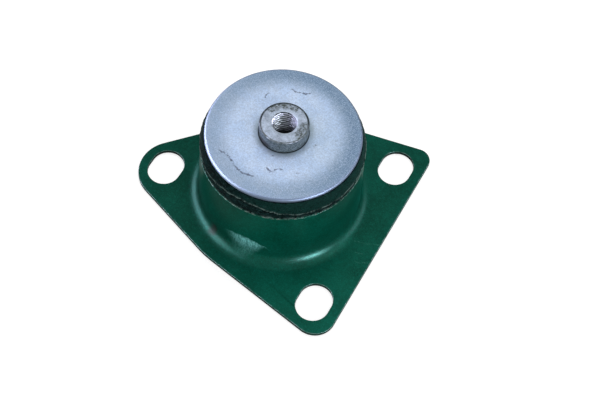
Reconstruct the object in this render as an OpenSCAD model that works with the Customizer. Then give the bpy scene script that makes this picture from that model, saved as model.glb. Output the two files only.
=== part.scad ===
// Transmission mount: a pressed three-eared bracket with a drawn dome, a bonded rubber block
// that stands out of the dome, and a round top disc carried on a tapped steel bush.
// The origin is on the axis of the dome, in the plane of the bracket's underside.
// +Z is up along the dome, +Y runs along the slots and the straight edge of the bracket.

/* [Bracket sheet] */
// Thickness of the pressed sheet
sheet_t = 2; // [1.5:0.1:3]
// Distance from the dome's axis to the straight edge
edge_x = 52.8; // [50:0.1:60]
// Radius of the flange that surrounds the dome
flange_r = 45.6; // [45:0.1:47]
// How far the flange's centre lies from the dome's axis, towards the lower ear
flange_shift = 1.7; // [0:0.1:2]

/* [Bracket ears] */
// Corner radius of the upper ear on the straight edge
upper_ear_r = 6; // [4:0.5:9]
// Distance of the upper ear's corner centre along the straight edge
upper_ear_y = 46.8; // [44:0.1:52]
// Corner radius of the lower ear on the straight edge
lower_ear_r = 9.5; // [6:0.5:11]
// Distance of the lower ear's corner centre along the straight edge
lower_ear_y = 47.5; // [44:0.1:52]
// Radius of the side ear
side_ear_r = 16; // [14:0.5:18]
// Reach of the side ear's centre from the dome's axis
side_ear_x = 47.2; // [45:0.1:52]
// How far the side ear's centre is set towards the lower ear
side_ear_y = 15; // [12:0.1:18]
// Slope of the side ear's free flank
flank_angle = 47.5; // [44:0.5:52]
// Radius of the inside corner where that flank meets the flange
inside_corner_r = 6; // [3:0.5:12]

/* [Slots] */
// Width of the slots
slot_w = 14.9; // [10:0.1:15]
// Length of the slots
slot_l = 18.4; // [16:0.1:19]
// Distance of the pair of slots from the dome's axis
pair_x = 40.4; // [39:0.1:42]
// Distance between the pair of slots
pair_spacing = 80; // [76:0.5:82]
// How far the middle of the pair is set towards the lower ear
pair_shift = 2.4; // [0:0.1:4]
// Reach of the side slot from the dome's axis
side_slot_x = 51.2; // [50:0.1:53]

/* [Dome] */
// Outer radius of the dome at its rim
rim_r = 35.9; // [34:0.1:37]
// Height of the dome's rim above the underside
rim_z = 36.6; // [30:0.1:38]
// Lean of the dome's wall from upright
draft = 1.2; // [0.5:0.1:2]
// Radius of the hollow blend at the foot of the dome
foot_r = 6; // [3:0.1:6]

/* [Rubber] */
// Outer radius of the rubber where it bulges most
bulge_r = 35.8; // [35.5:0.1:36.5]
// Height of that bulge above the underside
bulge_z = 40.5; // [39:0.1:42]
// Outer radius of the rubber where it meets the disc
neck_r = 34.4; // [34:0.1:35]
// Height of the mould's parting line
flash_z = 43.3; // [40:0.1:44]
// How far the thin flash stands out at the parting line
flash_out = 0.2; // [0.2:0.1:0.8]
// Thickness of the flash
flash_t = 0.4; // [0.3:0.1:0.8]
// Radius of the hollow's mouth on the underside
hollow_mouth_r = 29; // [24:0.5:30]
// Radius of the hollow's roof
hollow_roof_r = 19; // [16:0.5:20]
// Height of the hollow's roof above the underside
hollow_roof_z = 25; // [22:0.5:26]
// Height of the rubber's skirt above the underside
skirt_z = 7; // [6.5:0.5:10]
// Lowest point of the rubber button below the bush
button_z = 14; // [8:0.5:16]
// Thickness of the button's side round the bush
button_wall = 3; // [2:0.5:4]
// Rounding of the button's lower edge
button_edge_r = 4; // [2:0.5:5]

/* [Top disc] */
// Radius of the disc
disc_r = 34; // [32:0.1:35]
// Thickness of the disc
disc_t = 2.5; // [2.2:0.1:3]
// Height of the disc's flat middle above the underside
disc_z = 49.5; // [48:0.1:52]
// Radius at which the disc starts to fall towards its edge
crown_r = 23; // [20:0.5:26]
// How far the disc falls towards its edge
crown_drop = 0.5; // [0.2:0.1:0.8]
// Rounding of the disc's upper edge
disc_edge_r = 1.2; // [0.8:0.1:1.4]

/* [Threaded bush] */
// Radius of the boss above the disc
boss_r = 10.7; // [9.5:0.1:11]
// Height of the boss above the disc
boss_h = 6.9; // [5:0.1:8]
// Chamfer of the boss's upper edge
boss_chamfer = 0.6; // [0.3:0.1:1]
// Radius of the shoulder that seats under the disc
seat_r = 15; // [13:0.5:16]
// Thickness of that shoulder
seat_t = 3.5; // [3:0.5:5]
// Height of the bush's lower end
bush_foot_z = 27; // [26.5:0.5:29]
// Chamfer of the bush's lower end
bush_foot_chamfer = 1; // [0.5:0.5:2]
// Radius of the tapped hole at the crests of its thread
bore_r = 5.2; // [5:0.05:5.3]
// Depth of the full thread
bore_depth = 22; // [16:0.5:24]
// Half of the angle of the drill's point, at the end of the hole
drill_half_angle = 59; // [55:1:60]
// Radius of the countersink at the mouth of the hole
mouth_r = 5.6; // [5.5:0.1:6.2]

/* [Hidden] */
$fn = 96;
// Clearance round the bush, in the disc's hole and in the rubber's socket
bush_gap = 0.05;
// Reach that takes a cutting shape well past the surface it cuts
past = 100;
disc_under_z = disc_z - disc_t;
boss_z = disc_z + boss_h;
drill_tip = bore_r / tan(drill_half_angle);
button_r = boss_r + button_wall;
// Height down to which the rubber fills the dome; below it stands straight, clear of the foot's blend
fill_z = skirt_z + foot_r;
// Steps of each run of the rubber's rounded side
swell_steps = 6;
// Radius of that side, which passes through its bulge and its neck
swell_r = (pow(disc_under_z - bulge_z, 2) + pow(bulge_r - neck_r, 2)) / (2 * (bulge_r - neck_r));
// Centre of the foot's blend, where its arcs meet the wall and the flat sheet
foot_z = sheet_t + foot_r;
wall_foot_z = foot_z - foot_r * sin(draft);
wall_foot_r = rim_r + (rim_z - wall_foot_z) * tan(draft);
foot_x = wall_foot_r + foot_r * cos(draft);
// Width of the flat band round the blend, which lies half inside the flange
flat_band = 0.4;
// Corner circles of the outline, each as [centre x, centre y, radius]
flange = [0, -flange_shift, flange_r];
lower_ear = [edge_x - lower_ear_r, -lower_ear_y, lower_ear_r];
upper_ear = [edge_x - upper_ear_r, upper_ear_y, upper_ear_r];
side_ear = [-side_ear_x, -side_ear_y, side_ear_r];
// Centre of the inside corner, out from the flank and from the flange by a hair less than its
// radius, and the two points where its arc meets them
corner_bite = 0.05;
corner_out = inside_corner_r - corner_bite;
flank_out = flank_angle + 90;
flank_reach = (side_ear[0] - flange[0]) * cos(flank_out) + (side_ear[1] - flange[1]) * sin(flank_out);
across = flank_reach + side_ear_r + corner_out;
along = sqrt(pow(flange_r + corner_out, 2) - across * across);
corner = [
    flange[0] + across * cos(flank_out) - along * cos(flank_angle),
    flange[1] + across * sin(flank_out) - along * sin(flank_angle),
];
corner_circle = [corner[0], corner[1], corner_out];
on_flank = on_circle(corner_circle, flank_out + 180);
on_flange = on_circle(corner_circle, atan2(flange[1] - corner[1], flange[0] - corner[0]));

// Direction of the outward normal of the straight edge that runs from circle a to circle b
function edge_normal(a, b) =
    atan2(b[1] - a[1], b[0] - a[0]) - acos((a[2] - b[2]) / norm([b[0] - a[0], b[1] - a[1]]));

// Point of circle c in a given direction from its centre
function on_circle(c, angle) = [c[0] + c[2] * cos(angle), c[1] + c[2] * sin(angle)];

// The two ends of the straight edge that touches circles a and b
function edge_ends(a, b) = [on_circle(a, edge_normal(a, b)), on_circle(b, edge_normal(a, b))];

// Inner radius of the dome at a given height
function wall_in_r(z) = rim_r + (rim_z - z) * tan(draft) - sheet_t / cos(draft);

module disc_of(c) {
    translate([c[0], c[1]])
        circle(r = c[2]);
}

// Fills the notch between the side ear's free flank and the flange, up to a rounded inside corner
module flank_corner() {
    difference() {
        polygon([corner, on_flank, [flange[0], flange[1]], on_flange]);
        translate(corner)
            circle(r = inside_corner_r);
    }
}

module plate_outline() {
    polygon(concat(
        edge_ends(side_ear, flange),
        edge_ends(flange, lower_ear),
        edge_ends(lower_ear, upper_ear),
        edge_ends(upper_ear, flange),
        [[flange[0], flange[1]], on_flank, on_circle(side_ear, flank_out)]
    ));
    flank_corner();
    for (c = [flange, lower_ear, upper_ear, side_ear]) {
        disc_of(c);
    }
}

module slot_shape() {
    square([slot_w, slot_l - slot_w], center = true);
    for (s = [-1, 1]) {
        translate([0, s * (slot_l - slot_w) / 2])
            circle(d = slot_w);
    }
}

// From the blend's centre to the wall's foot, up one face of the wall, and in to the axis
function wall_run(foot, top) = [[foot_x, foot_z], foot, top, [0, top[1]]];

// Section of the drawn sheet: what lies below its outer face, less what lies below its inner face
module dome_section() {
    inner_foot_z = foot_z - (foot_r + sheet_t) * sin(draft);
    above_z = rim_z + past;
    difference() {
        polygon(concat(
            [[0, 0], [foot_x + flat_band, 0], [foot_x + flat_band, sheet_t], [foot_x, sheet_t]],
            wall_run([wall_foot_r, wall_foot_z], [rim_r, rim_z])
        ));
        translate([foot_x, foot_z])
            circle(r = foot_r);
        difference() {
            polygon(concat(
                [[0, -past], [foot_x, -past]],
                wall_run([wall_in_r(inner_foot_z), inner_foot_z], [wall_in_r(above_z), above_z])
            ));
            translate([foot_x, foot_z])
                circle(r = foot_r + sheet_t);
        }
    }
}

// One pressed sheet: the flat flange with its three slotted ears, and the dome drawn up from it
module mounting_plate() {
    color("darkgreen")
    union() {
        linear_extrude(sheet_t)
            difference() {
                plate_outline();
                circle(r = foot_x + flat_band / 2);
                for (y = [-1, 1]) {
                    translate([pair_x, y * pair_spacing / 2 - pair_shift])
                        slot_shape();
                }
                translate([-side_slot_x, -side_ear_y])
                    slot_shape();
            }
        rotate_extrude()
            dome_section();
    }
}

// Point of the rubber's rounded side at a given height
function swell_point(z) = [bulge_r - swell_r + sqrt(swell_r * swell_r - pow(z - bulge_z, 2)), z];

// Points of the rounded side from one height down to another
function swell_run(high, low) = [
    for (i = [0 : swell_steps]) swell_point(high + (low - high) * i / swell_steps)
];

// Section of the rubber: it fills the dome, rests on its rim and swells out up to the disc,
// with the thin flash of the mould's parting line round its side
module rubber_section() {
    flash_high = flash_z + flash_t / 2;
    flash_low = flash_z - flash_t / 2;
    difference() {
        polygon(concat(
            [[0, disc_under_z]],
            swell_run(disc_under_z, flash_high),
            [[bulge_r + flash_out, flash_high], [bulge_r + flash_out, flash_low]],
            swell_run(flash_low, rim_z),
            [
                [wall_in_r(rim_z), rim_z],
                [wall_in_r(fill_z), fill_z],
                [wall_in_r(fill_z), skirt_z],
                [0, skirt_z],
            ]
        ));
        hollow_section();
        translate([0, bush_foot_z])
            square([boss_r + bush_gap, past]);
        translate([0, disc_under_z - seat_t])
            square([seat_r + bush_gap, past]);
    }
}

// The hollow under the rubber, with the round button that covers the bush's end left standing
module hollow_section() {
    difference() {
        polygon([
            [0, 0],
            [hollow_mouth_r, 0],
            [hollow_mouth_r, skirt_z],
            [hollow_roof_r, hollow_roof_z],
            [0, hollow_roof_z],
        ]);
        translate([0, button_z])
            square([button_r - button_edge_r, past]);
        translate([0, button_z + button_edge_r])
            square([button_r, past]);
        translate([button_r - button_edge_r, button_z + button_edge_r])
            circle(r = button_edge_r);
    }
}

module rubber_body() {
    color("dimgray")
    rotate_extrude()
        rubber_section();
}

// Pressed disc: flat in the middle, falling a little towards its rounded edge
module top_disc() {
    edge_top = disc_z - crown_drop;
    color("lightsteelblue")
    rotate_extrude()
        difference() {
            union() {
                polygon([
                    [boss_r + bush_gap, disc_under_z],
                    [disc_r, disc_under_z],
                    [disc_r, edge_top - disc_edge_r],
                    [disc_r - disc_edge_r, edge_top],
                    [crown_r, disc_z],
                    [boss_r + bush_gap, disc_z],
                ]);
                translate([disc_r - disc_edge_r, edge_top - disc_edge_r])
                    circle(r = disc_edge_r);
            }
            square([past, disc_under_z]);
        }
}

// Turned bush: boss above the disc, seat below it, shank in the rubber, blind tapped hole
module threaded_bush() {
    color("gray")
    rotate_extrude()
        polygon([
            [0, bush_foot_z],
            [boss_r - bush_foot_chamfer, bush_foot_z],
            [boss_r, bush_foot_z + bush_foot_chamfer],
            [boss_r, disc_under_z - seat_t],
            [seat_r, disc_under_z - seat_t],
            [seat_r, disc_under_z],
            [boss_r, disc_under_z],
            [boss_r, boss_z - boss_chamfer],
            [boss_r - boss_chamfer, boss_z],
            [mouth_r, boss_z],
            [bore_r, boss_z - (mouth_r - bore_r)],
            [bore_r, boss_z - bore_depth],
            [0, boss_z - bore_depth - drill_tip],
        ]);
}

mounting_plate();
rubber_body();
top_disc();
threaded_bush();
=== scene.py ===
# %% [markdown]
# # Transmission mount
# A gearbox hangs on a mount like this. A pressed green bracket is bolted to the car, a block of
# rubber is bonded into its dome, and a plated disc with a tapped steel bush sits on the rubber.
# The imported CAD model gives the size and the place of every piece. This script gives each of them
# the small shapes and the finish that the eye looks for.

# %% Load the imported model
import math
import bpy
from mathutils import Matrix, Vector, noise


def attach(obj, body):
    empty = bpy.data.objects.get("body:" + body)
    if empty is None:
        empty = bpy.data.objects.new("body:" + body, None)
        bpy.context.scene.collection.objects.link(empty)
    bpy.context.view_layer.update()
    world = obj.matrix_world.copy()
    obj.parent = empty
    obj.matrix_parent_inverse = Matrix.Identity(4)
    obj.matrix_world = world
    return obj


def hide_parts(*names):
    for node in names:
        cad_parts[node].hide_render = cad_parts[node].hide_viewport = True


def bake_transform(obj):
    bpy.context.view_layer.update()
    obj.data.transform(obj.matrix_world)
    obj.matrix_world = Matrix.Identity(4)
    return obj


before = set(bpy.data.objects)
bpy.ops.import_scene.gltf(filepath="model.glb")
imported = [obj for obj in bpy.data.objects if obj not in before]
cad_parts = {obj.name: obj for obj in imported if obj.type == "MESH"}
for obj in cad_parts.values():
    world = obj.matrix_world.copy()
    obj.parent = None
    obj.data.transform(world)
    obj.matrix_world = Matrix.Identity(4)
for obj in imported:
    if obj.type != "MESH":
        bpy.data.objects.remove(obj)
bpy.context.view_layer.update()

print("solids:", sorted(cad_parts))

# %% [markdown]
# ## Camera
# The picture was taken from about 60 degrees above the floor with a long lens, so the mount hardly
# tapers. The camera stands where a fit to the disc, the slots and the boss put it: first turned
# about the upright axis, then tipped up from straight down, then rolled a little about its own
# line of sight.

# %% Camera
MM = 0.001
camera_place = Vector((147.57, -308.77, 551.70)) * MM
camera_turn, camera_height, camera_roll = (math.radians(a) for a in (23.95, 58.41, 5.25))

lens = bpy.data.cameras.new("camera")
lens.sensor_width = 36
lens.lens = 85.45
lens.clip_start = 0.01
lens.clip_end = 50
camera = bpy.data.objects.new("camera", lens)
bpy.context.scene.collection.objects.link(camera)
camera.matrix_world = (
    Matrix.Translation(camera_place)
    @ Matrix.Rotation(camera_turn, 4, "Z")
    @ Matrix.Rotation(math.pi / 2 - camera_height, 4, "X")
    @ Matrix.Rotation(camera_roll, 4, "Z")
)
bpy.context.scene.camera = camera
print("camera distance to the dome's axis: %.0f mm" % (camera_place.length / MM))

# %% [markdown]
# ## A pen
# Every piece of this mount is either cut to an outline or turned round an axis, and both start as
# a wire. By hand one would place a vertex, extrude it along a straight edge, and spin it round a
# corner. The pen does just that, in millimetres, so that the outlines below read like a drawing.
# Blender's spin turns clockwise for a positive angle, hence the minus sign.

# %% The pen
class Pen:
    """Draws one wire in edit mode: put down at a point, then straight runs and arcs."""

    def __init__(self, *point):
        bpy.ops.object.select_all(action="DESELECT")
        bpy.ops.mesh.primitive_plane_add(size=MM)
        self.wire = bpy.context.object
        self.at = Vector(point)
        bpy.ops.object.mode_set(mode="EDIT")
        bpy.ops.mesh.merge(type="CENTER")
        bpy.ops.transform.translate(value=self.at * MM)

    def line(self, *point, runs=1):
        step = (Vector(point) - self.at) * MM / runs
        for _ in range(runs):
            bpy.ops.mesh.extrude_region_move(TRANSFORM_OT_translate={"value": step})
        self.at = Vector(point)

    def arc(self, centre, degrees, runs, axis="Z"):
        centre = Vector(centre)
        normal = Vector([float(a == axis) for a in "XYZ"])
        bpy.ops.mesh.spin(
            steps=runs, dupli=False, angle=-math.radians(degrees), center=centre * MM, axis=normal
        )
        self.at = centre + Matrix.Rotation(math.radians(degrees), 3, axis) @ (self.at - centre)

    def lift(self):
        bpy.ops.mesh.select_all(action="SELECT")
        bpy.ops.mesh.remove_doubles(threshold=0.002 * MM)
        bpy.ops.object.mode_set(mode="OBJECT")
        return self.wire


print("made the pen, with line, arc and lift")

# %% [markdown]
# ## Shared steps
# The same few steps come back for every piece: pick it, spin its section into a turned shape, join
# meshes, apply a modifier, shade it smooth, and look whether it is closed. They are written down
# once here. A closed piece has two faces on every edge, so the count of open edges should be 0.

# %% Picking, turning and joining
WELD = 0.005 * MM


def pick(*pieces):
    """Selects some pieces and nothing else, and makes the first of them active."""
    bpy.ops.object.select_all(action="DESELECT")
    for piece in pieces:
        piece.select_set(True)
    bpy.context.view_layer.objects.active = pieces[0]


def edit(piece):
    """Enters edit mode on one piece, with all of it selected."""
    pick(piece)
    bpy.ops.object.mode_set(mode="EDIT")
    bpy.ops.mesh.select_all(action="SELECT")


def turn(piece, around):
    """Spins a section, drawn in the XZ plane, once round Z and closes its seam and poles."""
    edit(piece)
    bpy.ops.mesh.spin(
        steps=around, dupli=False, angle=2 * math.pi, center=(0, 0, 0), axis=(0, 0, 1)
    )
    bpy.ops.mesh.select_all(action="SELECT")
    bpy.ops.mesh.remove_doubles(threshold=WELD)
    bpy.ops.mesh.normals_make_consistent(inside=False)
    bpy.ops.object.mode_set(mode="OBJECT")


def join(name, *pieces):
    """Makes one mesh of several and merges the vertices that they share."""
    pick(*pieces)
    bpy.ops.object.join()
    joined = pieces[0]
    edit(joined)
    bpy.ops.mesh.remove_doubles(threshold=WELD)
    bpy.ops.object.mode_set(mode="OBJECT")
    joined.name = joined.data.name = name
    return joined


print("vertices closer than %.3f mm are welded" % (WELD / MM))

# %% Modifiers, shading and a look at the result
def apply(piece, kind, **settings):
    """Adds a modifier and applies it at once."""
    pick(piece)
    modifier = piece.modifiers.new(kind.title(), kind)
    for setting, value in settings.items():
        setattr(modifier, setting, value)
    bpy.ops.object.modifier_apply(modifier=modifier.name)


def smooth(piece, degrees):
    """Shades a piece smooth, but for edges sharper than an angle."""
    pick(piece)
    bpy.ops.object.shade_smooth_by_angle(angle=math.radians(degrees))


def report(piece):
    """Prints the size of a finished piece and how many of its edges are open."""
    mesh = piece.data
    uses = {}
    for face in mesh.polygons:
        for key in face.edge_keys:
            uses[key] = uses.get(key, 0) + 1
    spots = [v.co / MM for v in mesh.vertices]
    low = [round(min(s[i] for s in spots), 2) for i in range(3)]
    high = [round(max(s[i] for s in spots), 2) for i in range(3)]
    triangles = sum(len(face.vertices) - 2 for face in mesh.polygons)
    open_edges = sum(n != 2 for n in uses.values())
    print(piece.name, low, high, triangles, "triangles,", open_edges, "open edges")


print("made apply, smooth and report")

# %% [markdown]
# ## The bracket's outline
# The bracket is blanked from sheet steel. Its outline runs as straight edges from one rounded
# corner to the next, each touching both circles, with one hollow corner where the side ear's flank
# meets the flange round the dome. So the outline needs only its corner circles: the direction in
# which a straight edge leaves a circle follows from the two centres and radii. Three slots and the
# foot of the dome are holes in it.

# %% Corner circles of the blank
sheet = 2

# x, y and radius of each corner circle
flange = (0, -1.7, 45.6)
lower_ear = (43.3, -47.5, 9.5)
upper_ear = (46.8, 46.8, 6)
side_ear = (-47.2, -15, 16)

hollow_corner = 5.95
flank = math.radians(137.5)


def direction(a, b):
    """Direction of the outward normal of the straight edge from circle a to circle b."""
    dx, dy = b[0] - a[0], b[1] - a[1]
    return math.atan2(dy, dx) - math.acos((a[2] - b[2]) / math.hypot(dx, dy))


def on(circle, angle):
    """The point of a circle in a direction."""
    return circle[0] + circle[2] * math.cos(angle), circle[1] + circle[2] * math.sin(angle)


straight_edge = Vector(on(lower_ear, 0)) - Vector(on(upper_ear, 0))
print("the straight edge is about %.1f mm long" % straight_edge.length)

# %% Centre of the hollow corner
across = (
    (side_ear[0] - flange[0]) * math.cos(flank)
    + (side_ear[1] - flange[1]) * math.sin(flank)
    + side_ear[2]
    + hollow_corner
)
along = math.sqrt((flange[2] + hollow_corner) ** 2 - across**2)
corner = (
    flange[0] + across * math.cos(flank) - along * math.sin(flank),
    flange[1] + across * math.sin(flank) + along * math.cos(flank),
)
print("hollow corner at %.2f, %.2f mm" % corner)

# %% Draw the outline
def sweep(start, end, most=5):
    """Degrees from one direction to another, the short way, and the runs that this takes."""
    degrees = (math.degrees(end - start) + 180) % 360 - 180
    return degrees, max(2, math.ceil(abs(degrees) / most))


pen = Pen(*on(side_ear, direction(side_ear, flange)), sheet)
stops = [side_ear, flange, lower_ear, upper_ear, flange]
to_corner = math.atan2(corner[1] - flange[1], corner[0] - flange[0])
for here, there, after in zip(stops, stops[1:], stops[2:] + [None]):
    arrive = direction(here, there)
    leave = direction(there, after) if after else to_corner
    pen.line(*on(there, arrive), sheet)
    pen.arc((there[0], there[1], sheet), *sweep(arrive, leave))
pen.arc((*corner, sheet), *sweep(to_corner + math.pi, flank + math.pi))
pen.line(*on(side_ear, flank), sheet)
half = (direction(side_ear, flange) + 2 * math.pi - flank) / 2
for start in (flank, flank + half):
    pen.arc((side_ear[0], side_ear[1], sheet), *sweep(start, start + half))
blank = pen.lift()
print("outline:", len(blank.data.vertices), "vertices")

# %% Slots and the foot of the dome
slot_width, slot_length = 14.9, 18.4
slot_centres = [(40.4, 37.6), (40.4, -42.4), (-51.2, -15)]
slot_runs = 24
foot_circle = 42.50
around_dome = 192

rims = []
for x, y in slot_centres:
    reach = (slot_length - slot_width) / 2
    pen = Pen(x + slot_width / 2, y - reach, sheet)
    pen.line(x + slot_width / 2, y + reach, sheet)
    pen.arc((x, y + reach, sheet), 180, slot_runs)
    pen.line(x - slot_width / 2, y - reach, sheet)
    pen.arc((x, y - reach, sheet), 180, slot_runs)
    rims.append(pen.lift())

bpy.ops.object.select_all(action="DESELECT")
bpy.ops.mesh.primitive_circle_add(
    vertices=around_dome, radius=foot_circle * MM, fill_type="NOTHING", location=(0, 0, sheet * MM)
)
foot = bpy.context.object
bpy.ops.object.transform_apply(location=True, rotation=False, scale=False)
bracket = join("painted_bracket", blank, *rims, foot)
edit(bracket)
bpy.ops.mesh.fill(use_beauty=True)
bpy.ops.object.mode_set(mode="OBJECT")
print("flange: %.1f mm2" % (sum(f.area for f in bracket.data.polygons) / MM**2))

# %% [markdown]
# ## The drawn dome
# The dome is drawn from the same sheet in a press: the punch leaves a wall that leans in by a
# degree or so, and a round blend at its foot where the light gathers in a bright ring. A section
# of the outer face is drawn and spun, and welded to the flange. Only then does the sheet get its
# thickness, inwards and downwards, because a real sheet keeps its thickness round every bend.

# %% Draw and spin the dome
lean = math.radians(1.2)
rim_radius, rim_height = 35.9, 36.6
blend = 6
wall_foot_z = sheet + blend - blend * math.sin(lean)
wall_foot_r = rim_radius + (rim_height - wall_foot_z) * math.tan(lean)
foot_x = wall_foot_r + blend * math.cos(lean)
print("blend starts at radius %.2f mm" % foot_x)

pen = Pen(foot_circle, 0, sheet)
pen.arc((foot_x, 0, sheet + blend), 90 - math.degrees(lean), 16, axis="Y")
pen.line(rim_radius, 0, rim_height, runs=6)
dome = pen.lift()
turn(dome, around_dome)
bracket = join("painted_bracket", bracket, dome)

# %% Give the sheet its thickness and its soft edges
soft_edge = 0.35

edit(bracket)
bpy.ops.mesh.normals_make_consistent(inside=False)
bpy.ops.object.mode_set(mode="OBJECT")
if sum(f.normal.z * f.area for f in bracket.data.polygons) < 0:
    edit(bracket)
    bpy.ops.mesh.flip_normals()
    bpy.ops.object.mode_set(mode="OBJECT")
apply(bracket, "SOLIDIFY", thickness=sheet * MM, offset=-1, use_even_offset=True)
apply(
    bracket,
    "BEVEL",
    width=soft_edge * MM,
    segments=3,
    limit_method="ANGLE",
    angle_limit=math.radians(40),
)
smooth(bracket, 40)
apply(bracket, "WEIGHTED_NORMAL", keep_sharp=True, weight=100)
report(bracket)

# %% [markdown]
# ## The rubber block
# Raw rubber is pressed into the dome round the bush and cured there, so it fills the dome, sits on
# its rim, and swells a little on its way up to the disc. Below, a hollow and a round button leave
# room for it to give. It is a turned shape, drawn as one closed section. The rounded side is cut
# into fine rings, because the mould's flash is shaped on them next.

# %% Draw and spin the rubber
bush_foot, seat_z, disc_under = 27, 43.5, 47
swell_centre, swell_radius = (20.01, 0, 40.5), 15.79
fill_radius, fill_bottom, hollow_top = 34.39, 7, 25
button_radius, button_round, button_bottom = 13.7, 4, 14
hollow = [
    (fill_radius, fill_bottom),
    (29, fill_bottom),
    (19, hollow_top),
    (button_radius, hollow_top),
]

pen = Pen(0, 0, bush_foot)
for radius, height in [(10.75, bush_foot), (10.75, seat_z), (15.05, seat_z), (15.05, disc_under)]:
    pen.line(radius, 0, height)
top_angle = math.asin((disc_under - swell_centre[2]) / swell_radius)
low_angle = math.asin((rim_height - swell_centre[2]) / swell_radius)
neck = swell_centre[0] + swell_radius * math.cos(top_angle)
pen.line(neck, 0, disc_under, runs=3)
pen.arc(swell_centre, math.degrees(top_angle - low_angle), 56, axis="Y")
pen.line(rim_radius - sheet, 0, rim_height)
button_side = (button_radius, button_bottom + button_round)
for radius, height in [(fill_radius, 13), *hollow, button_side]:
    pen.line(radius, 0, height)
pen.arc((button_radius - button_round, 0, button_bottom + button_round), 90, 8, axis="Y")
pen.line(0, 0, button_bottom)
rubber = pen.lift()
turn(rubber, 256)
rubber.name = rubber.data.name = "rubber_block"
print("the rubber meets the disc at radius %.2f mm" % neck)

# %% Round the edges of the hollow
def lies_on(vertex, rings):
    """For each ring, given by its radius and height, whether a vertex lies on it."""
    spot = vertex.co / MM
    radius = math.hypot(spot.x, spot.y)
    return [abs(radius - r) < 0.05 and abs(spot.z - z) < 0.05 for r, z in rings]


edit(rubber)
bpy.ops.mesh.select_all(action="DESELECT")
bpy.ops.object.mode_set(mode="OBJECT")
for edge in rubber.data.edges:
    start, end = (lies_on(rubber.data.vertices[i], hollow) for i in edge.vertices)
    edge.select = any(a and b for a, b in zip(start, end))
print("rounding", sum(e.select for e in rubber.data.edges), "edges")
bpy.ops.object.mode_set(mode="EDIT")
bpy.ops.mesh.bevel(offset=1.2 * MM, segments=3)
bpy.ops.object.mode_set(mode="OBJECT")

# %% [markdown]
# ## Flash of the mould
# Where the halves of a mould meet, a thin ragged line of rubber is left. In the picture it doesn't
# run level: it stands high on the near left, comes down on the near right, and is torn all along.
# At the rim a little rubber has crept over the edge of the steel. A line as irregular as this is
# sculpted rather than constructed: the rings of the rounded side are pushed in and out by a height
# that goes round with the direction, and by smooth noise that repeats nowhere.

# %% Height of the flash round the block
# direction in degrees and height above the dome's rim
flash_stops = [
    (0, 4.0), (60, 5.4), (120, 5.8), (180, 5.2), (220, 4.8), (236, 5.0), (255, 6.6),
    (266, 7.4), (279, 7.0), (290, 5.4), (300, 4.2), (312, 3.4), (332, 3.6), (360, 4.0),
]


def flash_above_rim(degrees):
    """Height of the flash in a direction, eased from one stop to the next."""
    for (a, low), (b, high) in zip(flash_stops, flash_stops[1:]):
        if degrees <= b:
            t = (degrees - a) / (b - a)
            return low + (high - low) * t * t * (3 - 2 * t)


def ragged(spot, size, seed=0.0):
    """Smooth noise from about -1 to 1, with bumps of a given size in millimetres."""
    return noise.noise(spot / size + Vector((seed, seed, seed)))


heights = [flash_above_rim(degrees) for degrees in range(360)]
print("the flash runs %.1f to %.1f mm above the rim" % (min(heights), max(heights)))

# %% Push the rings in and out
side_from, widest = 34.2, 36.15
ridge_height, ridge_width = 0.45, 0.24
crumb_height, crumb_width = 0.7, 0.6

crests = rubber.data.attributes.new("flash_crest", "FLOAT", "POINT").data
aboves = rubber.data.attributes.new("above_flash", "FLOAT", "POINT").data
for vertex in rubber.data.vertices:
    spot = vertex.co / MM
    radius = math.hypot(spot.x, spot.y)
    if radius < side_from or not rim_height + 0.05 < spot.z < disc_under - 0.05:
        continue
    degrees = math.degrees(math.atan2(spot.y, spot.x)) % 360
    flash = rim_height + flash_above_rim(degrees) + 0.3 * ragged(spot, 2.4)
    flash += 0.3 * ragged(spot, 7, 4)
    ridge = math.exp(-(((spot.z - flash) / ridge_width) ** 2))
    at_rim = math.exp(-(((spot.z - rim_height - 0.3) / crumb_width) ** 2))
    crumbs = max(0, 0.25 + 1.2 * ragged(spot, 3, 9)) * at_rim
    skin = 0.07 * ragged(spot, 1.6, 2) + 0.1 * ragged(spot, 6, 3) - 0.1
    torn_ridge = ridge_height * (1 + 0.8 * ragged(spot, 2.2, 5)) * ridge
    pushed = min(radius + torn_ridge + crumb_height * crumbs + skin, widest)
    vertex.co.x *= pushed / radius
    vertex.co.y *= pushed / radius
    crests[vertex.index].value = min(1, ridge + crumbs)
    aboves[vertex.index].value = min(1, max(0, (spot.z - flash) / 0.4))
smooth(rubber, 50)
report(rubber)

# %% [markdown]
# ## The plated disc
# The disc is stamped from thicker sheet and zinc plated. It is flat in the middle, falls a little
# towards its edge, and has a rounded upper edge that catches the light as a bright line. Its hole
# has a small chamfer, which shows as the dark ring round the boss. A closed section is spun.

# %% Draw and spin the disc
disc_radius, disc_top, disc_fall = 34, 49.5, 0.5
upper_round, lower_round = 1.2, 0.3
hole, hole_chamfer = 10.85, (0.2, 0.3)
crown = [(31, 0.36), (29, 0.27), (27, 0.17), (25, 0.08), (23, 0.03), (21, 0)]

edge_z = disc_top - disc_fall - upper_round
pen = Pen(hole, 0, disc_under)
pen.line(disc_radius - lower_round, 0, disc_under)
pen.arc((disc_radius - lower_round, 0, disc_under + lower_round), -90, 4, axis="Y")
pen.line(disc_radius, 0, edge_z)
pen.arc((disc_radius - upper_round, 0, edge_z), -84, 10, axis="Y")
for radius, fall in crown:
    pen.line(radius, 0, disc_top - fall)
pen.line(hole + hole_chamfer[0], 0, disc_top)
pen.line(hole, 0, disc_top - hole_chamfer[1])
pen.line(hole, 0, disc_under)
disc = pen.lift()
turn(disc, 256)
disc.name = disc.data.name = "plated_disc"
smooth(disc, 40)
report(disc)

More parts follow.
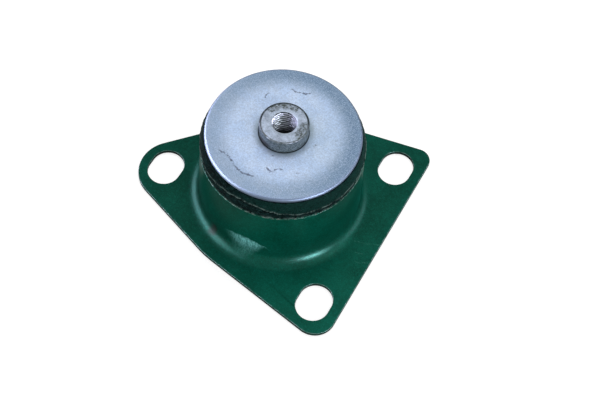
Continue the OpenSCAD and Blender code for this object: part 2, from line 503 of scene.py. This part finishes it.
# %% [markdown]
# ## The tapped bush
# The bush is turned from bar: a boss that stands out of the disc, a shoulder that seats under it, a
# shank in the rubber, and a blind hole with an M12 x 1.5 thread. The wall of the hole is drawn as a
# column of short runs and spun. The tap then cuts the thread: each point of the wall moves out to
# the depth that a right-handed groove has there. The ends need no patching, as they would if a
# coil were swept and welded in, because the groove runs out into the chamfer by itself.

# %% Draw and spin the bush
boss_radius, boss_top, boss_round = 10.7, 56.4, 0.6
shank_radius, shank_chamfer, shoulder = 10.7, 1, 15
crest, root, pitch = 5.2, 6.0, 1.5
mouth, mouth_round = 5.6, 0.15
mouth_z = boss_top - 0.1
thread_end, drill_point = 34.4, 3.12
shank = [
    (shank_radius - shank_chamfer, bush_foot),
    (shank_radius, bush_foot + shank_chamfer),
    (shank_radius, seat_z),
    (shoulder, seat_z),
    (shoulder, disc_under),
    (shank_radius, disc_under),
]

pen = Pen(0, 0, bush_foot)
for radius, height in shank:
    pen.line(radius, 0, height)
pen.line(boss_radius, 0, boss_top - boss_round, runs=4)
pen.arc((boss_radius - boss_round, 0, boss_top - boss_round), -90, 5, axis="Y")
pen.line(mouth + mouth_round, 0, boss_top, runs=4)
pen.line(mouth, 0, mouth_z)
pen.line(crest, 0, mouth_z - (mouth - crest), runs=4)
pen.line(crest, 0, thread_end, runs=166)
pen.line(0, 0, thread_end - drill_point)
bush = pen.lift()
turn(bush, 128)
bush.name = bush.data.name = "tapped_bush"
print("the thread has about %.1f turns" % ((mouth_z - thread_end) / pitch))

# %% Cut the thread
def groove(phase):
    """Depth of the groove at a phase of its pitch: flat crest, flank, narrow root, flank."""
    crest_flat, root_flat = 0.25, 0.125
    slope = (1 - crest_flat - root_flat) / 2
    distance = abs((phase % 1) - 0.5)
    return min(1, max(0, (0.5 - crest_flat / 2 - distance) / slope))


def under_ridge(phase):
    """1 in the root and under the ridge, 0 on the crest and the upper part of its flank."""
    return 1.0 if 0.24 < phase % 1 < 0.92 else 0.0


# start of the first turn, as a share of the pitch: of two tries, the one that shows at this size
thread_start = 0.4
run_out, countersink = 2, 0.6
shades = bush.data.attributes.new("under_ridge", "FLOAT", "POINT").data
for vertex in bush.data.vertices:
    spot = vertex.co / MM
    radius = math.hypot(spot.x, spot.y)
    if not (crest - 0.01 < radius < mouth and thread_end < spot.z < mouth_z):
        continue
    turned = math.atan2(spot.y, spot.x) / (2 * math.pi)
    phase = spot.z / pitch - turned - thread_start
    shades[vertex.index].value = under_ridge(phase)
    share = min(1, (spot.z - thread_end) / run_out)
    cut = crest + (root - crest) * groove(phase) * share
    cut = min(cut, mouth + countersink * (mouth_z - spot.z))
    if cut > radius:
        vertex.co.x *= cut / radius
        vertex.co.y *= cut / radius
smooth(bush, 40)
report(bush)

# %% [markdown]
# ## Node helpers
# A finish is a small tree of nodes. To keep each one readable, a few helpers add a node with its
# values and links in one line. Every pattern reads the object's own coordinates, turned into
# millimetres, so a grain of 2 means 2 mm on the real mount and nothing slides when a piece moves.

# %% Adding nodes
def new_finish(name):
    """A new material with its node tree and its shader."""
    finish = bpy.data.materials.new(name)
    finish.use_nodes = True
    return finish, finish.node_tree, finish.node_tree.nodes["Principled BSDF"]


def give(tree, socket, feed):
    """Feeds a socket with a link or a value. None leaves it alone."""
    if isinstance(feed, bpy.types.NodeSocket):
        tree.links.new(feed, socket)
    elif feed is not None:
        socket.default_value = feed


def add(tree, kind, *feeds, out=0, **settings):
    """Adds a node, sets it, feeds its inputs in order and returns one of its outputs."""
    node = tree.nodes.new("ShaderNode" + kind)
    for setting, value in settings.items():
        setattr(node, setting, value)
    for socket, feed in zip(node.inputs, feeds):
        give(tree, socket, feed)
    return node.outputs[out]


print("made new_finish, give and add")

# %% Numbers
def maths(tree, operation, *feeds):
    return add(tree, "Math", *feeds, operation=operation)


def times(tree, first, *others):
    """Multiplies some values."""
    for other in others:
        first = maths(tree, "MULTIPLY", first, other)
    return first


def greatest(tree, first, *others):
    """The greatest of some values."""
    for other in others:
        first = maths(tree, "MAXIMUM", first, other)
    return first


def fade(tree, value, start, end, low=0.0, high=1.0):
    """Goes smoothly from low at start to high at end."""
    return add(
        tree, "MapRange", value, start, end, low, high, interpolation_type="SMOOTHSTEP"
    )


print("made maths, times, greatest and fade")

# %% Places
def millimetres(tree):
    """The object's coordinates in millimetres."""
    place = add(tree, "TexCoord", out=3)
    return add(tree, "VectorMath", place, None, None, 1000.0, operation="SCALE")


def apart(tree, vector):
    """The x, y and z of a vector."""
    return add(tree, "SeparateXYZ", vector).node.outputs[:3]


def towards(tree, vector, way):
    """How far a vector reaches in a direction."""
    return add(tree, "VectorMath", vector, way, operation="DOT_PRODUCT", out=1)


def from_axis(tree, place):
    """Distance from the upright axis of the dome."""
    level = add(tree, "VectorMath", place, (1.0, 1.0, 0.0), operation="MULTIPLY")
    return add(tree, "VectorMath", level, operation="LENGTH", out=1)


print("made millimetres, apart, towards and from_axis")

# %% Patterns and colours
def grain(tree, place, size, detail=2.0, roughness=0.5):
    """Noise from 0 to 1 with bumps of a given size in millimetres."""
    return add(tree, "TexNoise", place, None, 1 / size, detail, roughness)


def mixed(tree, share, first, second, blend_type="MIX"):
    """Mixes two colours by a share."""
    node = tree.nodes.new("ShaderNodeMix")
    node.data_type = "RGBA"
    node.blend_type = blend_type
    for index, feed in ((0, share), (6, first), (7, second)):
        give(tree, node.inputs[index], feed)
    return node.outputs[2]


def scaled(tree, colour, amount):
    """Makes a colour darker or lighter by a factor."""
    return mixed(tree, 1.0, colour, amount, "MULTIPLY")


def toned(tree, colour, pattern, low, high):
    """Makes a colour darker and lighter by a pattern."""
    return scaled(tree, colour, fade(tree, pattern, 0.25, 0.75, low, high))


def bump(tree, height, depth, normal=None):
    """Normal of a surface with a height on it, of a depth in millimetres."""
    node = tree.nodes.new("ShaderNodeBump")
    node.inputs["Distance"].default_value = depth * MM
    give(tree, node.inputs["Strength"], 1.0)
    give(tree, node.inputs["Height"], height)
    give(tree, node.inputs["Normal"], normal)
    return node.outputs[0]


print("made grain, mixed, scaled, toned and bump")

# %% [markdown]
# ## Scratches
# A scratch sits at one place, so noise can't make it. A small node group measures how far a point
# is from a straight stroke, and a chain of strokes makes a crooked scratch. The place is shaken by
# fine noise first, which makes the line look torn and not drawn.

# %% Distance to a stroke
def make_stroke_group():
    """A node group with the distance from a place to a stroke, given by its start and its run."""
    group = bpy.data.node_groups.new("stroke", "ShaderNodeTree")
    for name in ("Place", "Start", "Run"):
        group.interface.new_socket(name, in_out="INPUT", socket_type="NodeSocketVector")
    group.interface.new_socket("Distance", in_out="OUTPUT", socket_type="NodeSocketFloat")
    place, start, run = group.nodes.new("NodeGroupInput").outputs[:3]
    away = add(group, "VectorMath", place, start, operation="SUBTRACT")
    ahead = towards(group, away, run)
    length = towards(group, run, run)
    share = add(group, "Math", ahead, length, operation="DIVIDE", use_clamp=True)
    nearest = add(group, "VectorMath", run, None, None, share, operation="SCALE")
    gap = add(group, "VectorMath", away, nearest, operation="SUBTRACT")
    result = add(group, "VectorMath", gap, operation="LENGTH", out=1)
    group.links.new(result, group.nodes.new("NodeGroupOutput").inputs[0])
    return group


stroke_group = make_stroke_group()
print("stroke group:", len(stroke_group.nodes), "nodes")

# %% Crooked scratches
def distance_to(tree, place, chains):
    """Distance in millimetres to the nearest of some chains of points."""
    nearest = 99.0
    for chain in chains:
        for start, end in zip(chain, chain[1:]):
            stroke = tree.nodes.new("ShaderNodeGroup")
            stroke.node_tree = stroke_group
            give(tree, stroke.inputs["Place"], place)
            stroke.inputs["Start"].default_value = start
            stroke.inputs["Run"].default_value = [e - s for s, e in zip(start, end)]
            nearest = maths(tree, "MINIMUM", stroke.outputs[0], nearest)
    return nearest


def at_height(height, *chains):
    """Lifts chains of x, y points to one height."""
    return [[(x, y, height) for x, y in chain] for chain in chains]


def shaken(tree, place, size, reach):
    """The place, pushed about by noise: size of the bumps and reach of the push in millimetres."""
    node = tree.nodes.new("ShaderNodeTexNoise")
    give(tree, node.inputs["Vector"], place)
    node.inputs["Scale"].default_value = 1 / size
    push = add(
        tree, "VectorMath", node.outputs["Color"], (0.5, 0.5, 0.5), operation="SUBTRACT"
    )
    push = add(tree, "VectorMath", push, None, None, 2.0 * reach, operation="SCALE")
    return add(tree, "VectorMath", place, push, operation="ADD")


print("made distance_to, at_height and shaken")

# %% [markdown]
# ## Green paint
# The bracket has a deep bottle-green stoving enamel: glossy, with a faint orange peel, a little
# lighter in clouds, dusted with fine pale specks and long hair scratches. The gloss is tinted,
# because this paint throws back teal and hardly any red. A brown smudge at the foot of the dome and
# a
# few rubbed marks are set by place. Two things set by place are painted light, not the paint's own:
# a grainy pale teal area on the near left of the dome is a painted highlight, and the green is
# painted darker to the left and back and lighter to the front, as painted shade and light, because
# these lamps alone light those parts differently. The coat is weakened up the wall for the same
# reason.

# %% Base of the paint
paint, tree, shader = new_finish("green_paint")
place = millimetres(tree)
x, y, z = apart(tree, place)
radius = from_axis(tree, place)
cloud = grain(tree, place, 16, 3)
mottle = grain(tree, place, 0.9, 4, 0.7)
deep, fresh = (0.0011, 0.065, 0.042, 1), (0.0018, 0.086, 0.057, 1)
dusty = (0.005, 0.145, 0.108, 1)
green = mixed(tree, fade(tree, cloud, 0.35, 0.65), deep, fresh)
green = mixed(tree, fade(tree, mottle, 0.5, 0.8, 0, 0.6), green, dusty)
green = toned(tree, green, grain(tree, place, 0.5, 2, 0.6), 0.76, 1.24)
green = toned(tree, green, grain(tree, place, 1.6, 2, 0.6), 0.88, 1.12)
# painted shade and light: darker towards the back and the left, lighter towards the front
green = scaled(tree, green, fade(tree, y, 20, -50, 0.84, 1.16))
green = scaled(tree, green, fade(tree, x, -40, 5, 0.78, 1.0))
print("base of the paint:", len(tree.nodes), "nodes")

# %% Hair scratches of the paint
along_edge = add(tree, "Mapping", place, None, (0, 0, 0.35), (1.0, 0.03, 1.0))
hairs = fade(tree, grain(tree, along_edge, 0.5, 2), 0.70, 0.78)
broken = fade(tree, grain(tree, place, 9, 2), 0.5, 0.7)
green = mixed(tree, times(tree, hairs, broken, 0.5), green, (0.02, 0.14, 0.105, 1))
rubbed = [
    [(39.7, -7.1, 2), (45.5, -5.4, 2), (52, -2.9, 2)],
    [(42.0, -11.7, 2), (48.0, -11.0, 2)],
    [(46.7, -16.0, 2), (52.0, -13.6, 2)],
]
marks = fade(tree, distance_to(tree, shaken(tree, place, 2.5, 0.9), rubbed), 0.40, 0.10)
marks = times(tree, marks, fade(tree, mottle, 0.4, 0.65, 0.05, 0.4))
green = mixed(tree, marks, green, (0.05, 0.22, 0.17, 1))
print("with its scratches:", len(tree.nodes), "nodes")

# %% Outline of the painted highlight
# the painted highlight hangs from a curved upper edge; its depth shrinks to both sides of its
# middle
def falling(tree, top, way, curve):
    """A height that falls away to both sides like a parabola."""
    return maths(tree, "SUBTRACT", top, times(tree, way, way, curve))


around = times(tree, maths(tree, "ARCTAN2", y, x), 180 / math.pi)
aside = maths(tree, "ADD", around, 88.4)
upper_edge = falling(tree, 16.7, aside, 0.0145)
depth = falling(tree, 13.3, maths(tree, "SUBTRACT", aside, 0.5), 0.05)
torn_z = maths(tree, "ADD", z, fade(tree, grain(tree, place, 3.0, 4, 0.7), 0.2, 0.8, -0.7, 0.7))
below = maths(tree, "SUBTRACT", upper_edge, torn_z)
below = maths(tree, "DIVIDE", below, greatest(tree, depth, 1.0))
print("outline of the patch:", len(tree.nodes), "nodes")

# %% Painted highlight and smudge on the dome
# painted highlight: a pale, streaky teal area on the near left of the dome's wall
upright = add(tree, "VectorMath", place, (1.0, 1.0, 0.22), operation="MULTIPLY")
streaky = grain(tree, upright, 0.5, 3, 0.8)
painted_highlight = times(
    tree,
    fade(tree, below, 0.0, 0.15),
    fade(tree, below, 1.15, 0.1),
    fade(tree, aside, -17, 3),
    fade(tree, aside, 21, 8),
    fade(tree, streaky, 0.36, 0.62, 0.25, 1.0),
    fade(tree, radius, 35.4, 35.8),
)
green = mixed(tree, painted_highlight, green, (0.25, 0.72, 0.70, 1))
smudge_line = [[(-15.0, -33.9, 3), (-14.4, -33.6, 6)]]
smudge = distance_to(tree, shaken(tree, place, 3, 1.0), smudge_line)
smudge = fade(tree, smudge, 3.4, 0.8, 0, 0.75)
green = mixed(tree, smudge, green, (0.022, 0.022, 0.02, 1))
print("with its patch and smudge:", len(tree.nodes), "nodes")

# %% Rubbed and cut edges of the sheet
normal = add(tree, "TexCoord", out=1)
facing = maths(tree, "ABSOLUTE", apart(tree, normal)[2])
low = fade(tree, z, 2.3, 2.05)
cut_grain = fade(tree, grain(tree, place, 1.5, 3), 0.3, 0.6, 0.5, 1.0)
cut = times(tree, fade(tree, facing, 0.3, 0.1), low, cut_grain)
green = mixed(tree, cut, green, (0.012, 0.02, 0.019, 1))
worn = times(
    tree,
    fade(tree, facing, 0.35, 0.6),
    fade(tree, facing, 0.985, 0.9),
    fade(tree, z, 1.3, 1.6),
    fade(tree, radius, 40.5, 41.5),
    low,
    fade(tree, grain(tree, place, 2.2, 3, 0.7), 0.4, 0.6, 0.15, 0.9),
)
green = mixed(tree, worn, green, (0.14, 0.24, 0.22, 1))
rim_grain = fade(tree, grain(tree, place, 1.6, 5, 0.8), 0.44, 0.6, 0.05, 0.9)
top_rim = times(tree, fade(tree, z, 36.2, 36.4), rim_grain)
green = mixed(tree, top_rim, green, (0.20, 0.29, 0.26, 1))
print("with its edges:", len(tree.nodes), "nodes")

# %% Gloss of the paint
give(tree, shader.inputs["Base Color"], green)
dull = greatest(tree, painted_highlight, smudge)
give(tree, shader.inputs["Roughness"], fade(tree, dull, 0.0, 1.0, 0.34, 0.6))
shader.inputs["Metallic"].default_value = 0.1
shader.inputs["Specular IOR Level"].default_value = 0.01
shader.inputs["Specular Tint"].default_value = (0.08, 0.4, 0.4, 1)
give(tree, shader.inputs["Coat Weight"], fade(tree, z, 9, 16, 0.025, 0.004))
shader.inputs["Coat IOR"].default_value = 2.5
shader.inputs["Coat Roughness"].default_value = 0.33
peel = bump(tree, grain(tree, place, 2.2, 2), 0.012)
peel = bump(tree, mottle, 0.018, peel)
give(tree, shader.inputs["Normal"], peel)
give(tree, shader.inputs["Coat Normal"], peel)
bracket.data.materials.append(paint)
print("green paint:", len(tree.nodes), "nodes")

# %% [markdown]
# ## Zinc
# The disc is bright zinc with a cool, slightly blue passivation. It is soft, so its outer band is
# pecked grey by handling, most of all on the near and right sides, and a few crooked cracks and
# dents show where something hit it. Round the boss lies a stain where water crept out of the joint.

# %% Zinc plating
zinc, tree, shader = new_finish("zinc_plate")
place = millimetres(tree)
radius = from_axis(tree, place)
speckle = grain(tree, place, 0.45, 3, 0.8)
cloud = grain(tree, place, 7, 3)
pale, milky = (0.49, 0.63, 0.81, 1), (0.55, 0.68, 0.84, 1)
grey = (0.15, 0.25, 0.38, 1)
colour = mixed(tree, fade(tree, cloud, 0.4, 0.62), pale, milky)
turned = add(tree, "Mapping", place, None, (0, 0, 1.1), (1.0, 0.06, 1.0))
wiped = add(tree, "Mapping", place, None, (0, 0, -0.5), (1.0, 0.05, 1.0))
scratched = greatest(tree, grain(tree, turned, 0.45, 2), grain(tree, wiped, 0.5, 2))
in_clouds = fade(tree, cloud, 0.35, 0.6, 0.1, 0.45)
scratched = times(tree, fade(tree, scratched, 0.62, 0.76), in_clouds)
colour = mixed(tree, scratched, colour, (0.33, 0.43, 0.58, 1))
print("zinc with its fine scratches:", len(tree.nodes), "nodes")

# %% Pecked outer band of the disc
pecked = times(tree, fade(tree, grain(tree, place, 0.8, 3, 0.7), 0.58, 0.70), 0.35)
colour = mixed(tree, pecked, colour, grey)
colour = toned(tree, colour, grain(tree, place, 0.6, 2, 0.6), 0.84, 1.16)
ragged_radius = maths(tree, "ADD", radius, times(tree, cloud, 5.0))
outer = fade(tree, ragged_radius, 23.0, 33.5)
right_side = fade(tree, towards(tree, place, (0.6, 0.8, 0.0)), -25, 25, 0.55, 1.0)
spots = times(tree, outer, right_side, fade(tree, speckle, 0.33, 0.6, 0.25, 1.0))
colour = mixed(tree, spots, colour, grey)
print("with its pecked band:", len(tree.nodes), "nodes")

# %% Places of the cracks and dents
long_crack = [
    (-19.2, -21.8), (-15.6, -22.2), (-13.4, -22.8), (-10.9, -24.6),
    (-8.7, -25.8), (-5.8, -26.7), (-3.4, -26.7), (-0.3, -25.9),
]
cracks = at_height(disc_top - 0.1, long_crack) + at_height(
    disc_top,
    [(-7.4, 21.4), (-5.6, 20.9), (-1.4, 22.2), (0.1, 23.4)],
    [(-15.4, 11.3), (-15.9, 13.0), (-15.4, 14.6)],
    [(2.7, -19.6), (4.9, -20.8), (5.7, -19.6), (6.6, -18.0), (8.5, -17.1)],
    [(14.7, -15.6), (15.2, -15.2)],
    [(14.5, 0.0), (15.3, 0.9)],
    [(21.6, 7.2), (22.0, 8.0)],
    [(1.7, -13.1), (2.0, -12.9)],
)
print("strokes of the cracks:", sum(len(chain) - 1 for chain in cracks))

# %% Cracks, stain and rim of the disc
crack = distance_to(tree, shaken(tree, place, 1.3, 0.8), cracks)
torn = fade(tree, grain(tree, place, 1.0, 3, 0.7), 0.38, 0.56, 0.1, 1.0)
crack_line = times(tree, fade(tree, crack, 0.6, 0.12), torn)
colour = mixed(tree, times(tree, crack_line, 0.9), colour, (0.10, 0.12, 0.17, 1))
stain = times(tree, fade(tree, radius, 14.5, 10.9), fade(tree, cloud, 0.3, 0.6, 0.3, 0.8))
colour = mixed(tree, stain, colour, (0.24, 0.31, 0.34, 1))
joint = times(tree, fade(tree, radius, 11.3, 10.95), 0.7)
colour = mixed(tree, joint, colour, (0.03, 0.045, 0.05, 1))
# painted highlight and shade: the rounded rim is coloured dark, lighter on the near left, to set
# how bright it shines
near_left = fade(tree, towards(tree, place, (1.0, -0.3, 0.0)), 22, -8)
painted_rim_highlight = mixed(tree, near_left, (0.08, 0.11, 0.14, 1), (0.16, 0.21, 0.26, 1))
colour = mixed(tree, fade(tree, radius, 32.8, 33.5), colour, painted_rim_highlight)
print("with its cracks, stain and rim:", len(tree.nodes), "nodes")

# %% Sheen of the disc
give(tree, shader.inputs["Base Color"], colour)
shader.inputs["Metallic"].default_value = 0.7
shader.inputs["Specular Tint"].default_value = (0.10, 0.12, 0.15, 1)
top_roughness = fade(tree, outer, 0, 1, 0.42, 0.34)
roughness = greatest(tree, top_roughness, fade(tree, radius, 32.6, 33.2, 0, 0.52))
give(tree, shader.inputs["Roughness"], roughness)
dents = maths(tree, "SUBTRACT", times(tree, speckle, outer), times(tree, crack_line, 2.0))
give(tree, shader.inputs["Normal"], bump(tree, dents, 0.03))
disc.data.materials.append(zinc)
print("zinc:", len(tree.nodes), "nodes")

# %% [markdown]
# ## Bare steel
# The bush is machined steel that has lain about: grey and mottled, olive and dark in patches on its
# face, darker on its side, and its far edge is darkened as painted shade. Inside, the crests and
# upper flanks of the thread are painted bright, as rubbed metal and painted highlight, and the
# roots and the undersides of the ridges are painted black, as oil and painted shade. The hole is
# painted darker downwards and to its right, as painted shade. This contrast is stronger than the
# lamps alone would give it, because the ridges are only two pixels apart in the picture and would
# blur away.

# %% Bare steel
steel, tree, shader = new_finish("bare_steel")
place = millimetres(tree)
z = apart(tree, place)[2]
radius = from_axis(tree, place)
fine = grain(tree, place, 0.7, 4, 0.75)
patches = grain(tree, place, 3.5, 4, 0.7)
dark_steel, light_steel = (0.29, 0.36, 0.42, 1), (0.52, 0.61, 0.71, 1)
colour = mixed(tree, fade(tree, fine, 0.3, 0.7), dark_steel, light_steel)
colour = toned(tree, colour, patches, 0.70, 1.20)
print("steel:", len(tree.nodes), "nodes")

# %% Oxide on the face of the boss, and painted shade on its far edge
stained = at_height(
    boss_top,
    [(-8.4, 3.2), (-6.4, 6.6), (-3.0, 8.6), (0.6, 8.8)],
    [(8.0, 2.8), (8.2, -2.6)],
)
oxide = fade(tree, distance_to(tree, shaken(tree, place, 1.8, 2.0), stained), 2.2, 1.2)
oxide = times(tree, oxide, fade(tree, fine, 0.42, 0.56, 0.2, 1.0))
near_edge = fade(tree, radius, 9.9, 10.15)
near_edge = times(tree, near_edge, fade(tree, patches, 0.35, 0.6, 0.55, 1.0))
oxide = greatest(tree, oxide, fade(tree, patches, 0.6, 0.75, 0.0, 0.7), near_edge)
colour = mixed(tree, oxide, colour, (0.055, 0.070, 0.062, 1))
# painted shade: the far edge of the boss's face is darkened
far_side = fade(tree, towards(tree, place, (-0.4, 0.9, 0.0)), -6, 2)
far_edge_shade = times(
    tree,
    fade(tree, radius, 9.5, 9.95),
    far_side,
    fade(tree, patches, 0.3, 0.5, 0.6, 1.0),
)
colour = mixed(tree, far_edge_shade, colour, (0.025, 0.034, 0.04, 1))
print("with its oxide:", len(tree.nodes), "nodes")

# %% Side of the boss and its foot
side = times(tree, fade(tree, radius, 10.4, 10.65), fade(tree, z, 56.1, 55.8))
dark_speck, pale_speck = (0.05, 0.066, 0.062, 1), (0.17, 0.215, 0.225, 1)
speckled = mixed(tree, fade(tree, fine, 0.4, 0.65), dark_speck, pale_speck)
colour = mixed(tree, side, colour, speckled)
rust_line = [[(-5.6, -9.0, 51.2), (-2.6, -10.3, 51.0)]]
rust = distance_to(tree, shaken(tree, place, 2, 1.0), rust_line)
rust = fade(tree, rust, 2.2, 0.6, 0, 0.85)
colour = mixed(tree, rust, colour, (0.02, 0.014, 0.012, 1))
# painted shade: a dark line along the foot of the boss, where it meets the disc
foot_shade = times(tree, side, fade(tree, z, 50.2, 49.5, 0, 0.8))
colour = mixed(tree, foot_shade, colour, (0.015, 0.02, 0.022, 1))
print("with its side:", len(tree.nodes), "nodes")

# %% Thread
under = add(tree, "Attribute", attribute_name="under_ridge", out=2)
# painted highlight and shade: crests and upper flanks bright, roots and undersides of the ridges
# black
rubbed_and_lit_crest, oiled_and_shaded_root = (0.52, 0.58, 0.66, 1), (0.002, 0.003, 0.005, 1)
inside = mixed(tree, fade(tree, under, 0.3, 0.7), rubbed_and_lit_crest, oiled_and_shaded_root)
# painted shade: darker down the hole and towards its right
inside = mixed(tree, fade(tree, z, 47, 41), inside, (0.006, 0.007, 0.008, 1))
painted_right_shade = fade(tree, towards(tree, place, (0.77, 0.64, 0.0)), 1.5, 4.6, 0.0, 0.86)
inside = mixed(tree, painted_right_shade, inside, (0.02, 0.023, 0.03, 1))
bore = times(tree, fade(tree, radius, 6.3, 6.1), fade(tree, z, 56.1, 55.9))
colour = mixed(tree, bore, colour, inside)
print("with its thread:", len(tree.nodes), "nodes")

# %% Sheen of the steel
give(tree, shader.inputs["Base Color"], colour)
chamfer = times(tree, fade(tree, radius, 6.1, 5.9), fade(tree, z, 55.9, 56.1))
covered = greatest(tree, side, far_edge_shade, oxide, rust, chamfer)
give(tree, shader.inputs["Metallic"], fade(tree, covered, 0, 1, 0.8, 0.1))
give(tree, shader.inputs["Roughness"], fade(tree, bore, 0, 1, 0.45, 0.30))
shader.inputs["Specular IOR Level"].default_value = 0.1
pits = maths(tree, "SUBTRACT", fine, oxide)
give(tree, shader.inputs["Normal"], bump(tree, pits, 0.05))
bush.data.materials.append(steel)
print("bare steel:", len(tree.nodes), "nodes")

# %% [markdown]
# ## Rubber
# The rubber is black with a satin skin. Dust greys it in places, and a breath of green overspray
# lies on its near right side above the flash. The torn crest of the flash and the crumbs at the
# rim are paler than the rest. Their place goes round with the mould line, so the sculpting step
# stores them on the mesh as attributes, and the finish reads those.

# %% Rubber finish
skin_finish, tree, shader = new_finish("rubber")
place = millimetres(tree)
dust = grain(tree, place, 2.2, 4, 0.7)
fine = grain(tree, place, 0.5, 3, 0.8)
black, dusted = (0.0018, 0.0075, 0.0078, 1), (0.009, 0.034, 0.033, 1)
colour = mixed(tree, fade(tree, dust, 0.4, 0.7), black, dusted)
colour = toned(tree, colour, fine, 0.3, 1.7)
# fine teal flecks: partly dust, partly painted glints of the skin, which has almost no gloss
flecks_and_glints = times(tree, fade(tree, grain(tree, place, 0.8, 4, 0.8), 0.55, 0.63), 0.6)
colour = mixed(tree, flecks_and_glints, colour, (0.045, 0.095, 0.09, 1))
print("skin of the rubber:", len(tree.nodes), "nodes")

# %% Overspray, crest and sheen of the rubber
above = add(tree, "Attribute", attribute_name="above_flash", out=2)
near_right = fade(tree, towards(tree, place, (0.87, -0.5, 0.0)), 8, 28)
spray = times(tree, above, near_right, fade(tree, fine, 0.36, 0.64, 0.1, 0.95))
colour = mixed(tree, spray, colour, (0.008, 0.050, 0.041, 1))
crest_line = add(tree, "Attribute", attribute_name="flash_crest", out=2)
torn = fade(tree, grain(tree, place, 2.2, 5, 0.85), 0.40, 0.58)
colour = mixed(tree, times(tree, crest_line, torn), colour, (0.19, 0.28, 0.26, 1))
give(tree, shader.inputs["Base Color"], colour)
give(tree, shader.inputs["Roughness"], fade(tree, dust, 0.3, 0.7, 0.42, 0.65))
shader.inputs["Specular IOR Level"].default_value = 0.005
give(tree, shader.inputs["Normal"], bump(tree, fine, 0.12))
rubber.data.materials.append(skin_finish)
print("rubber:", len(tree.nodes), "nodes")

# %% [markdown]
# ## Floor and room
# The mount lies on a plain white floor in a plain white room that dims towards its ceiling. The
# floor's white is topped up for the camera, for mirrors and for glass, so that the background is
# white and the shadow stays. The room gives a soft light that comes more from the right.

# %% Floor
def seen_by(tree):
    """1 for rays of the camera, of a mirror and of glass, and 0 for those that light things."""
    rays = tree.nodes.new("ShaderNodeLightPath").outputs
    seen = maths(tree, "ADD", rays["Is Camera Ray"], rays["Is Glossy Ray"])
    return maths(tree, "ADD", seen, rays["Is Transmission Ray"])


bpy.ops.object.select_all(action="DESELECT")
bpy.ops.mesh.primitive_plane_add(size=6)
floor = bpy.context.object
floor.name = "floor"
white, tree, shader = new_finish("white_floor")
shader.inputs["Base Color"].default_value = (0.45, 0.45, 0.45, 1)
shader.inputs["Roughness"].default_value = 1
shader.inputs["Specular IOR Level"].default_value = 0
shader.inputs["Emission Color"].default_value = (1, 1, 1, 1)
give(tree, shader.inputs["Emission Strength"], times(tree, seen_by(tree), 0.72))
floor.data.materials.append(white)
print("floor: %.0f m wide" % floor.dimensions.x)

# %% Room
room = bpy.data.worlds.new("room")
bpy.context.scene.world = room
room.use_nodes = True
tree = room.node_tree
way = add(tree, "TexCoord", out=0)
height = apart(tree, way)[2]
dimming = fade(tree, height, 0.1, 0.9, 1.0, 0.52)
from_the_right = fade(tree, towards(tree, way, (0.87, -0.5, 0.0)), -0.8, 0.8, 0.45, 1.05)
soft_light = times(tree, from_the_right, fade(tree, height, 0.0, 0.8, 0.45, 0.66))
background = tree.nodes["Background"].inputs
give(tree, background["Strength"], fade(tree, seen_by(tree), 0.0, 1.0, soft_light, dimming))
background["Color"].default_value = (1.0, 1.0, 1.0, 1)
print("room:", len(tree.nodes), "nodes")

# %% [markdown]
# ## Lamps
# A photographer lights a mount like this with a few soft boxes. Two of them give the light itself:
# the key from high behind and a weaker one from the right front. Their mirror images would wash
# the paint out, so no glossy ray sees them. Five strips do the opposite and show only in
# reflections. Most stand low round the mount, where they draw the streaks on the ring at the foot
# of the dome and on the rim of the disc. One stands higher and reaches into the tapped hole.

# %% Lamps
def softbox(name, azimuth, elevation, width, height, radiance, tint=(0.85, 0.80, 1.0)):
    """A flat lamp that faces the mount from a direction in degrees, with its size in metres."""
    distance = 1.2
    data = bpy.data.lights.new(name, "AREA")
    data.shape = "RECTANGLE"
    data.size, data.size_y = width, height
    data.energy = radiance * math.pi * width * height
    data.color = tint
    lamp = bpy.data.objects.new(name, data)
    bpy.context.scene.collection.objects.link(lamp)
    a, e = math.radians(azimuth), math.radians(elevation)
    away = Vector((math.cos(a) * math.cos(e), math.sin(a) * math.cos(e), math.sin(e)))
    facing_mount = away.to_track_quat("Z", "Y").to_matrix().to_4x4()
    lamp.matrix_world = Matrix.Translation(away * distance) @ facing_mount
    lamp.visible_camera = False
    return lamp


plain_white = (1, 1, 1)
for lamp in (
    softbox("key", 105, 66, 0.8, 0.8, 3.3, plain_white),
    softbox("fill", 324, 30, 0.5, 0.5, 3.0, plain_white),
):
    lamp.visible_glossy = False
for strip in (
    softbox("left_strip", 190, 15, 1.1, 0.7, 20, (0.82, 0.73, 1.0)),
    softbox("left_front_strip", 226, 27, 0.6, 1.0, 17),
    softbox("front_right_strip", 335, 13, 0.38, 0.42, 105),
    softbox("right_strip", 32, 19, 0.9, 0.6, 9),
    softbox("right_high_strip", 6, 52, 0.45, 0.45, 5, (0.95, 0.97, 1)),
):
    strip.visible_diffuse = False

# %% [markdown]
# ## Bodies
# The bracket stays where it is bolted. The disc and the bush ride on the top body, which moves up
# and down. The rubber sits between the two, over the band between the rim and the disc, and is
# attached to neither.

# %% Bodies
bpy.context.scene.view_settings.view_transform = "Standard"
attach(bracket, "bracket")
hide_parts("mounting_plate")
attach(disc, "top")
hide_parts("top_disc")
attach(bush, "top")
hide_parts("threaded_bush")
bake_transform(rubber)
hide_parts("rubber_body")
print("the rubber bends over %.1f mm" % (disc_under - rim_height))
